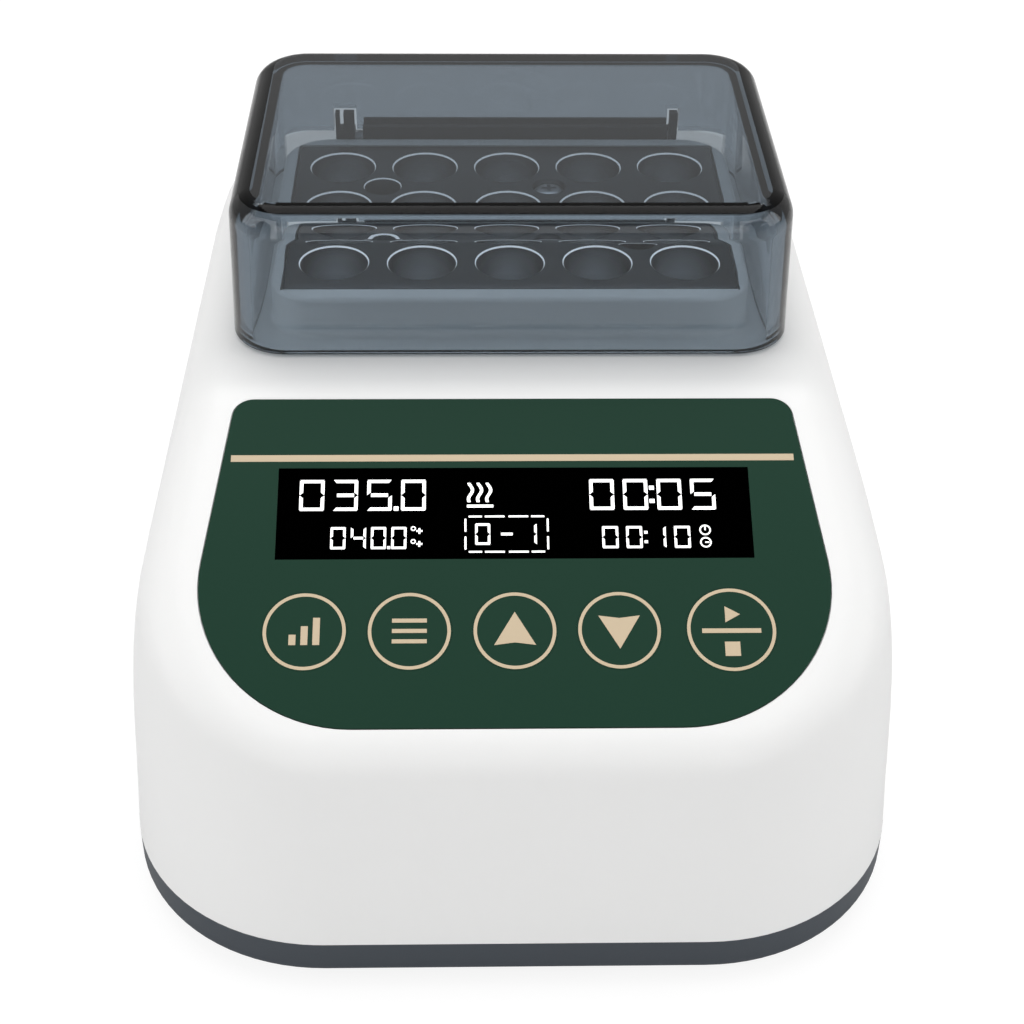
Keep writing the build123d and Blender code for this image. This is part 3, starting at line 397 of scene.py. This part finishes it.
mark(84.2, 1.1, -0.1, -11.65)
printed("beige_line", "base", beige_ink)
for key, x in key_spots.items():
    disc_mark(6.4 if key == "key_start_stop" else 5.93, x, key_row, stroke=0.5)
    if key == "key_program":
        for step, tall in enumerate((1.6, 2.9, 4.2)):
            mark(1.0, tall, x + (step - 1) * 1.7, key_row - 2.1 + tall / 2)
    if key == "key_menu":
        for row in (-1.6, 0, 1.6):
            mark(5.0, 0.62, x, key_row + row)
    if key in ("key_up", "key_down"):
        way = 1 if key == "key_up" else -1
        bpy.ops.object.select_all(action="DESELECT")
        bpy.ops.mesh.primitive_circle_add(vertices=4, radius=1, fill_type="NGON")
        arrow = bpy.context.object
        corners = ((0, 2.9 * way), (-3.0, -2.25 * way), (0, -1.85 * way), (3.0, -2.25 * way))
        for corner, (dx, dy) in zip(arrow.data.vertices, corners):
            corner.co = (x + dx, key_row + dy, 0)
        marks.append(arrow)
    if key == "key_start_stop":
        mark(8.5, 0.7, x, key_row - 0.2)
        mark(2.2, 2.2, x, key_row - 3.0)
        bpy.ops.object.select_all(action="DESELECT")
        bpy.ops.mesh.primitive_circle_add(vertices=3, radius=1.45, fill_type="NGON")
        sign = bpy.context.object
        sign.data.transform(
            Matrix.Translation((x - 0.1, key_row + 2.35, 0)) @ Matrix.Rotation(radians(-90), 4, "Z")
        )
        marks.append(sign)
    printed(key + "_symbol", key + "_body", beige_ink)

lit_white = moulded("lit_white", (0.9, 0.9, 0.9), 0.4, depth=0.0)
lit = lit_white.node_tree.nodes["Principled BSDF"]
lit.inputs["Emission Color"].default_value = (1, 1, 1, 1)
lit.inputs["Emission Strength"].default_value = 0.9
figures = {"0": "abcdef", "1": "bc", "3": "abcdg", "4": "bcfg", "5": "acdfg", "-": "g"}


def figure(sign, x, y, width, height, stroke):
    """One seven-segment figure, its bars mitred at the corners."""
    gap = 0.16 * stroke
    half = height / 2
    bars = {
        "a": (width - 0.3 * stroke, 0, half - stroke / 2, 0),
        "d": (width - 0.3 * stroke, 0, stroke / 2 - half, 180),
        "b": (half - stroke * 0.3, width / 2 - stroke / 2, half / 2 - gap / 2, -90),
        "c": (half - stroke * 0.3, width / 2 - stroke / 2, gap / 2 - half / 2, -90),
        "f": (half - stroke * 0.3, stroke / 2 - width / 2, half / 2 - gap / 2, 90),
        "e": (half - stroke * 0.3, stroke / 2 - width / 2, gap / 2 - half / 2, 90),
    }
    for name in figures[sign]:
        if name == "g":
            mark(width - 2.1 * stroke, stroke, x, y)
            continue
        length, dx, dy, turned = bars[name]
        mark(length, stroke * 0.92, x + dx, y + dy, narrow=1 - 1.5 * stroke / length, turned=turned)


for sign, x in zip("0350", (-29.93, -24.97, -19.95, -14.93)):
    figure(sign, x, -17.85, 3.7, 5.15, 0.56)
mark(0.7, 0.7, -17.47, -20.07)
for sign, x in zip("0005", (12.97, 17.97, 23.0, 28.0)):
    figure(sign, x, -17.85, 3.7, 5.15, 0.56)
for y in (-16.76, -18.95):
    mark(0.75, 0.66, 20.4, y)
for sign, x in zip("0400", (-25.9, -22.92, -19.98, -17.0)):
    figure(sign, x, -24.87, 2.25, 3.6, 0.4)
mark(0.45, 0.45, -18.46, -26.43)
for sign, x in zip("0010", (14.0, 17.53, 21.0, 24.6)):
    figure(sign, x, -24.87, 2.4, 3.6, 0.4)
for y in (-24.1, -25.63):
    mark(0.5, 0.44, 19.25, y)
figure("0", -4.72, -24.3, 2.25, 3.5, 0.4)
figure("-", -1.18, -24.3, 2.6, 3.5, 0.42)
figure("1", 2.1, -24.3, 2.25, 3.5, 0.4)
mark(3.9, 0.45, -5.08, -19.7)
for lane in (-6.5, -5.15, -3.8):
    for step in range(24):
        t = step / 23
        mark(0.46, 0.2, lane + 0.3 * sin(2 * pi * (t - 0.12)), -15.95 - 3.0 * t)
box_x, box_y, box_half, box_tall = -1.2, -24.29, 6.05, 2.87
for way in (-1, 1):
    for dx, long in ((-4.6, 1.95), (-1.75, 2.9), (1.75, 2.9), (4.6, 1.95)):
        mark(long, 0.27, box_x + dx, box_y + way * box_tall)
    for dy in (-1.45, 1.45):
        mark(0.27, 2.1, box_x + way * box_half, box_y + dy)
for x, y in ((-14.9, -23.35), (-14.9, -25.45)):
    disc_mark(0.38, x, y, stroke=0.16, corners=24)
for y in (-23.75, -25.85):
    mark(0.28, 0.9, -14.0, y)
    mark(0.9, 0.28, -14.0, y)
disc_mark(0.85, 28.0, -23.75, stroke=0.22, corners=32)
mark(0.2, 0.6, 28.0, -23.5)
disc_mark(0.85, 28.0, -25.75, stroke=0.22, corners=32)
mark(0.6, 0.2, 28.2, -25.75)
printed("display_figures", "base", lit_white)


# Heating block. Milled from aluminium and anodised dark; its fifteen wells are bored bright, with a
# deburred mouth, a straight part and a slow taper for the tips of the tubes. The mouths give off a
# little light, a painted highlight, and a bore's colour is painted lighter with depth and darker
# towards its sides, painted light and shade. Both are set to the photo and aren't physical.
def metal(name, colour, roughness, grain=2500.0, depth=0.08, mottle=0.06):
    material = moulded(name, colour, roughness, grain=grain, depth=depth, mottle=mottle)
    material.node_tree.nodes["Principled BSDF"].inputs["Metallic"].default_value = 1.0
    return material


def boring(name, spots, mouth, rings, corners=72):
    """Drills a turned form at each spot: rings of radius and depth below the mouth, in millimetres."""
    bpy.ops.object.select_all(action="DESELECT")
    radius, level = rings[0]
    bpy.ops.mesh.primitive_circle_add(
        vertices=corners, radius=radius / 1000, fill_type="NGON", location=(0, 0, level / 1000)
    )
    drill = bpy.context.object
    bpy.ops.object.transform_apply(location=True, rotation=True, scale=True)
    bpy.ops.object.mode_set(mode="EDIT")
    bpy.ops.mesh.select_all(action="SELECT")
    for next_radius, next_level in rings[1:]:
        bpy.ops.mesh.extrude_region_move(
            TRANSFORM_OT_translate={"value": (0, 0, (next_level - level) / 1000)}
        )
        share = next_radius / radius
        bpy.ops.transform.resize(value=(share, share, 1), center_override=(0, 0, 0))
        radius, level = next_radius, next_level
    bpy.ops.mesh.select_all(action="SELECT")
    bpy.ops.mesh.normals_make_consistent(inside=False)
    bpy.ops.object.mode_set(mode="OBJECT")
    drill.name = name
    copies = []
    for x, y in spots:
        copy = drill.copy()
        copy.data = drill.data.copy()
        copy.data.transform(Matrix.Translation((x / 1000, y / 1000, mouth / 1000)))
        bpy.context.scene.collection.objects.link(copy)
        copies.append(copy)
    bpy.data.objects.remove(drill)
    return copies


block_metal = metal("block_metal", (0.085, 0.09, 0.095), 0.38)
bored_metal = metal("bored_metal", (0.82, 0.85, 0.88), 0.4)
nodes, links = bored_metal.node_tree.nodes, bored_metal.node_tree.links
nodes["Principled BSDF"].inputs["Metallic"].default_value = 0.25
# Painted light and shade: the bore's colour is scaled up with depth and down where its walls face the sides.
place = nodes.new("ShaderNodeTexCoord")
height = nodes.new("ShaderNodeSeparateXYZ")
depth = nodes.new("ShaderNodeMapRange")
depth.inputs["From Min"].default_value = 0.0748
depth.inputs["From Max"].default_value = 0.070
depth.inputs["To Min"].default_value = 0.15
depth.inputs["To Max"].default_value = 1.15
turned = nodes.new("ShaderNodeSeparateXYZ")
squared = nodes.new("ShaderNodeMath")
squared.operation = "POWER"
squared.inputs[1].default_value = 2.0
away = nodes.new("ShaderNodeMath")
away.operation = "SUBTRACT"
away.inputs[0].default_value = 1.0
both = nodes.new("ShaderNodeMath")
both.operation = "MULTIPLY"
painted_bore_light_and_shade = nodes.new("ShaderNodeVectorMath")
painted_bore_light_and_shade.operation = "SCALE"
links.new(place.outputs["Object"], height.inputs[0])
links.new(height.outputs["Z"], depth.inputs["Value"])
links.new(place.outputs["Normal"], turned.inputs[0])
links.new(turned.outputs["X"], squared.inputs[0])
links.new(squared.outputs[0], away.inputs[1])
links.new(depth.outputs["Result"], both.inputs[0])
links.new(away.outputs[0], both.inputs[1])
links.new(nodes["Group"].outputs["Colour"], painted_bore_light_and_shade.inputs[0])
links.new(both.outputs[0], painted_bore_light_and_shade.inputs["Scale"])
links.new(painted_bore_light_and_shade.outputs["Vector"], nodes["Principled BSDF"].inputs["Base Color"])
# The mouths' chamfer gives off light though it is no lamp: a painted highlight.
rim_metal = moulded("rim_metal", (0.9, 0.91, 0.92), 0.4)
glint = rim_metal.node_tree.nodes["Principled BSDF"]
glint.inputs["Emission Color"].default_value = (0.95, 0.97, 1.0, 1)
glint.inputs["Emission Strength"].default_value = 0.7
# The block and its wells in millimetres.
grid_y, pitch_x, pitch_y = 21.9, 14.2, 14.7
block_width, block_length, block_tall, block_top = 72.4, 46.0, 38.0, 75.0
bpy.ops.mesh.primitive_cube_add(
    size=1,
    location=(0, grid_y / 1000, (block_top - block_tall / 2) / 1000),
    scale=(block_width / 1000, block_length / 1000, block_tall / 1000),
)
block = bpy.context.object
block.name = "milled_block"
bpy.ops.object.transform_apply(location=True, rotation=True, scale=True)
bpy.ops.object.mode_set(mode="EDIT")
choose("EDGE", lambda line: abs(line.verts[0].co.z - line.verts[1].co.z) > 0.02)
bpy.ops.mesh.bevel(offset=0.0006, segments=3, affect="EDGES")
choose("EDGE", lambda line: min(v.co.z for v in line.verts) > 0.07499)
bpy.ops.mesh.bevel(offset=0.00025, segments=2, affect="EDGES")
bpy.ops.object.mode_set(mode="OBJECT")
columns = [pitch_x * step for step in (-2, -1, 0, 1, 2)]
rows = [grid_y + pitch_y * step for step in (-1, 0, 1)]
probe_spots = [(-1.5 * pitch_x, grid_y + pitch_y / 2), (1.5 * pitch_x, grid_y - pitch_y / 2)]
screw_spot = (pitch_x / 2, grid_y + pitch_y / 2)
drills = boring(
    "well_drill", [(x, y) for x in columns for y in rows], block_top,
    [(5.98, 0.3), (5.6, -0.08), (5.5, -0.25), (5.5, -19), (3.3, -29), (2.2, -33.5), (1.4, -34.1)],
)
drills += boring(
    "probe_drill", probe_spots, block_top, [(3.5, 0.3), (3.18, -0.04), (3.1, -0.2), (3.1, -29), (0.4, -30)]
)
drills += boring(
    "screw_drill", [screw_spot], block_top, [(2.85, 0.3), (2.85, 0.0), (2.85, -2.3), (1.75, -2.3), (1.75, -39)]
)
only(drills[0])
for drill in drills:
    drill.select_set(True)
bpy.ops.object.join()
only(block)
bore = block.modifiers.new("bores", "BOOLEAN")
bore.operation = "DIFFERENCE"
bore.solver = "EXACT"
bore.object = drills[0]
bpy.ops.object.modifier_apply(modifier="bores")
bpy.data.objects.remove(drills[0])
block.data.materials.append(block_metal)
block.data.materials.append(bored_metal)
block.data.materials.append(rim_metal)
# A face belongs to a bore where it lies 0.4 mm or more within the block's sides and isn't its top.
inner_side, inner_front, inner_back, inner_bottom = 0.0358, -0.0007, 0.0445, 0.0372
bored_slot, rim_slot = 1, 2
for face in block.data.polygons:
    x, y, z = face.center
    within = abs(x) < inner_side and inner_front < y < inner_back and z > inner_bottom
    if within and (face.normal.z < 0.9 or z < 0.0749):
        at_probe = any((face.center.xy - Vector(spot) / 1000).length < 0.0033 for spot in probe_spots)
        if 0.2 < face.normal.z < 0.95 and z > 0.0745:
            face.material_index = rim_slot
        elif not at_probe:
            face.material_index = bored_slot
bpy.ops.object.shade_smooth_by_angle(angle=radians(30))
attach(block, "base")
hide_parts("heating_block")
screw_steel = metal("screw_steel", (0.5, 0.5, 0.51), 0.3)
for piece in ("block_screw", "housing_screws", "hinge_pin", "hinge_bracket_screws", "heater_tray_screws",
              "main_board_screws", "display_board_screws", "heater_tray", "temperature_sensor"):
    smooth_copy(piece, screw_steel)


# Hinge. Black bar, bracket and ears.
hinge_black = moulded("hinge_black", (0.006, 0.006, 0.007), 0.45, gloss=0.25)
smooth_copy("hinge_bar", hinge_black)
smooth_copy("hinge_bracket", hinge_black)


# Cover. Clear smoked acrylic, injection moulded with drafted walls and rounded edges; its rear wall
# is cut away round the hinge bar and the two ears. Its rounded upper edges carry painted shade,
# because the photo shows them nearly black.
def drafted_box(name, low, high, draft, corner, edge, corner_steps, edge_steps):
    """A box with drafted walls, rounded upright corners and a rounded top edge."""
    bpy.ops.object.select_all(action="DESELECT")
    size = Vector(high) - Vector(low)
    middle = (Vector(low) + Vector(high)) / 2
    bpy.ops.mesh.primitive_cube_add(size=1, location=middle, scale=size)
    piece = bpy.context.object
    piece.name = name
    bpy.ops.object.transform_apply(location=True, rotation=True, scale=True)
    bpy.ops.object.mode_set(mode="EDIT")
    choose("FACE", lambda face: face.normal.z > 0.9)
    inset = size.z * tan(radians(draft))
    bpy.ops.transform.resize(
        value=(1 - 2 * inset / size.x, 1 - 2 * inset / size.y, 1),
        center_override=(middle.x, middle.y, high[2]),
    )
    choose("EDGE", lambda line: abs(line.verts[0].co.z - line.verts[1].co.z) > size.z / 2)
    bpy.ops.mesh.bevel(offset=corner, segments=corner_steps, affect="EDGES")
    choose("EDGE", lambda line: min(v.co.z for v in line.verts) > high[2] - 1e-6
           and sum(face.normal.z > 0.9 for face in line.link_faces) == 1)
    bpy.ops.mesh.bevel(offset=edge, segments=edge_steps, affect="EDGES")
    choose("FACE", lambda face: face.normal.z < -0.9)
    bpy.ops.mesh.delete(type="FACE")
    bpy.ops.object.mode_set(mode="OBJECT")
    return piece


def cut_box(piece, low, high):
    """Cuts a square opening through the piece."""
    bpy.ops.object.select_all(action="DESELECT")
    size = Vector(high) - Vector(low)
    bpy.ops.mesh.primitive_cube_add(size=1, location=(Vector(low) + Vector(high)) / 2, scale=size)
    cutter = bpy.context.object
    only(piece)
    cut = piece.modifiers.new("cut", "BOOLEAN")
    cut.operation = "DIFFERENCE"
    cut.solver = "EXACT"
    cut.object = cutter
    bpy.ops.object.modifier_apply(modifier="cut")
    bpy.data.objects.remove(cutter)


def even_shading(piece, angle=35):
    """Flat faces stay flat and rounded edges shade smoothly."""
    only(piece)
    bpy.ops.object.shade_smooth_by_angle(angle=radians(angle))
    weight = piece.modifiers.new("weight", "WEIGHTED_NORMAL")
    weight.keep_sharp = True
    bpy.ops.object.modifier_apply(modifier="weight")


cover_low, cover_high = Vector((-0.044, -0.0117, 0.0683)), Vector((0.044, 0.0532, 0.0925))
cover_wall, cover_roof, cover_draft = 0.0028, 0.0032, 1.5
cover = drafted_box(
    "clear_cover", cover_low, cover_high, cover_draft,
    corner=0.009, edge=0.004, corner_steps=20, edge_steps=10,
)
inside = drafted_box(
    "cover_inside",
    cover_low + Vector((cover_wall, cover_wall, 0)),
    cover_high - Vector((cover_wall, cover_wall, cover_roof)),
    cover_draft, corner=0.0062, edge=0.0028, corner_steps=20, edge_steps=8,
)
only(inside)
bpy.ops.object.mode_set(mode="EDIT")
bpy.ops.mesh.select_all(action="SELECT")
bpy.ops.mesh.flip_normals()
bpy.ops.object.mode_set(mode="OBJECT")
cover.select_set(True)
bpy.context.view_layer.objects.active = cover
bpy.ops.object.join()
bpy.ops.object.mode_set(mode="EDIT")
choose("EDGE", lambda line: len(line.link_faces) == 1)
bpy.ops.mesh.bridge_edge_loops()
choose("EDGE", lambda line: max(v.co.z for v in line.verts) < cover_low.z + 1e-6
       and sum(face.normal.z < -0.9 for face in line.link_faces) == 1)
bpy.ops.mesh.bevel(offset=0.0006, segments=3, affect="EDGES")
bpy.ops.object.mode_set(mode="OBJECT")
# Left, right and top of each cut in the rear wall.
rear_cuts = (
    (-0.0395, 0.0395, 0.0755),
    (-0.027, 0.0305, 0.0758),
    (-0.0307, -0.0266, 0.0798),
    (0.0289, 0.0311, 0.0798),
)
for left, right, height in rear_cuts:
    cut_box(cover, (left, 0.0402, 0.060), (right, 0.062, height))
even_shading(cover)

smoke = bpy.data.materials.new("smoked_clear")
smoke.use_nodes = True
nodes, links = smoke.node_tree.nodes, smoke.node_tree.links
surface = nodes["Principled BSDF"]
surface.inputs["Roughness"].default_value = 0.015
# Faces seen at a grazing angle are painted darker: painted shade for the cover's dark edges.
slant = nodes.new("ShaderNodeLayerWeight")
slant.inputs["Blend"].default_value = 0.5
grazing = nodes.new("ShaderNodeMapRange")
grazing.inputs["From Min"].default_value = 0.72
grazing.inputs["From Max"].default_value = 0.95
tint_and_painted_shade = nodes.new("ShaderNodeMix")
tint_and_painted_shade.data_type = "RGBA"
clear_tone, grazing_painted_shade = (socket for socket in tint_and_painted_shade.inputs if socket.type == "RGBA")
clear_tone.default_value = (0.97, 0.985, 1.0, 1)
grazing_painted_shade.default_value = (0.1, 0.1, 0.105, 1)
links.new(slant.outputs["Facing"], grazing.inputs["Value"])
links.new(grazing.outputs["Result"], tint_and_painted_shade.inputs[0])
links.new(
    next(socket for socket in tint_and_painted_shade.outputs if socket.type == "RGBA"), surface.inputs["Base Color"]
)
surface.inputs["IOR"].default_value = 1.49
surface.inputs["Transmission Weight"].default_value = 1.0
dye = nodes.new("ShaderNodeVolumeAbsorption")
dye.inputs["Color"].default_value = (0.26, 0.34, 0.40, 1)
dye.inputs["Density"].default_value = 400.0
links.new(dye.outputs[0], nodes["Material Output"].inputs["Volume"])
path = nodes.new("ShaderNodeLightPath")
through = nodes.new("ShaderNodeBsdfTransparent")
through.inputs["Color"].default_value = (1, 1, 1, 1)
choice = nodes.new("ShaderNodeMixShader")
links.new(path.outputs["Is Shadow Ray"], choice.inputs["Fac"])
links.new(surface.outputs[0], choice.inputs[1])
links.new(through.outputs[0], choice.inputs[2])
links.new(choice.outputs[0], nodes["Material Output"].inputs["Surface"])
cover.data.materials.append(smoke)
edge = smoke.copy()
edge.name = "smoked_painted_shade"
# The copy's grazing tone is darker still: painted shade for the rounded upper edges.
for node in edge.node_tree.nodes:
    if node.type == "MIX":
        edge_painted_shade = next(socket for socket in node.inputs if socket.type == "RGBA")
        edge_painted_shade.default_value = (0.05, 0.05, 0.052, 1)
edge.node_tree.nodes["Principled BSDF"].inputs["IOR"].default_value = 1.2
cover.data.materials.append(edge)
# The rounded edge lies this far below the roof, and beyond these places to the side, front and rear.
edge_depth, edge_side, edge_front, edge_back = 0.00405, 0.0388, -0.0072, 0.0486
cover_middle = 0.0208
# Outward faces on the rounded upper edge take the material with the painted shade.
for face in cover.data.polygons:
    x, y, z = face.normal
    rounded = 0.0 < z < 0.998 and face.center.z > cover_high.z - edge_depth and (
        abs(face.center.x) > edge_side or not edge_front < face.center.y < edge_back
    )
    outward = x * face.center.x + y * (face.center.y - cover_middle) > 0
    band = z < 0.975
    if y < -0.05:
        band = z > 0.85
    elif abs(x) < 0.01:
        band = z < 0.93
    if rounded and outward and band:
        face.material_index = 1
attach(cover, "lid")
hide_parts("lid_cover")


# Inside. Boards, heater stack and connectors.
board_green = moulded("board_green", (0.012, 0.09, 0.035), 0.35, mottle=0.1)
part_black = moulded("part_black", (0.015, 0.015, 0.016), 0.5)
foam = moulded("insulation_foam", (0.62, 0.58, 0.48), 0.9, grain=900.0, depth=0.6, mottle=0.15)
silicone = moulded("heater_silicone", (0.3, 0.05, 0.02), 0.6)
plate_metal = metal("plate_metal", (0.6, 0.6, 0.62), 0.32)
header_white = moulded("header_white", (0.75, 0.73, 0.66), 0.5)
for material, pieces in (
    (board_green, ("main_board", "display_board")),
    (part_black, ("lcd_module", "key_switches", "thermal_cutout", "power_transistor", "control_chip",
                  "buzzer", "dc_jack", "power_switch_body", "power_switch_rocker", "power_inductor")),
    (foam, ("insulation_pad", "insulation_jacket")),
    (silicone, ("heater_mat",)),
    (plate_metal, ("heater_plate", "capacitors", "transistor_heatsink", "dc_jack_nut")),
    (header_white, ("cable_headers",)),
):
    for piece in pieces:
        smooth_copy(piece, material)
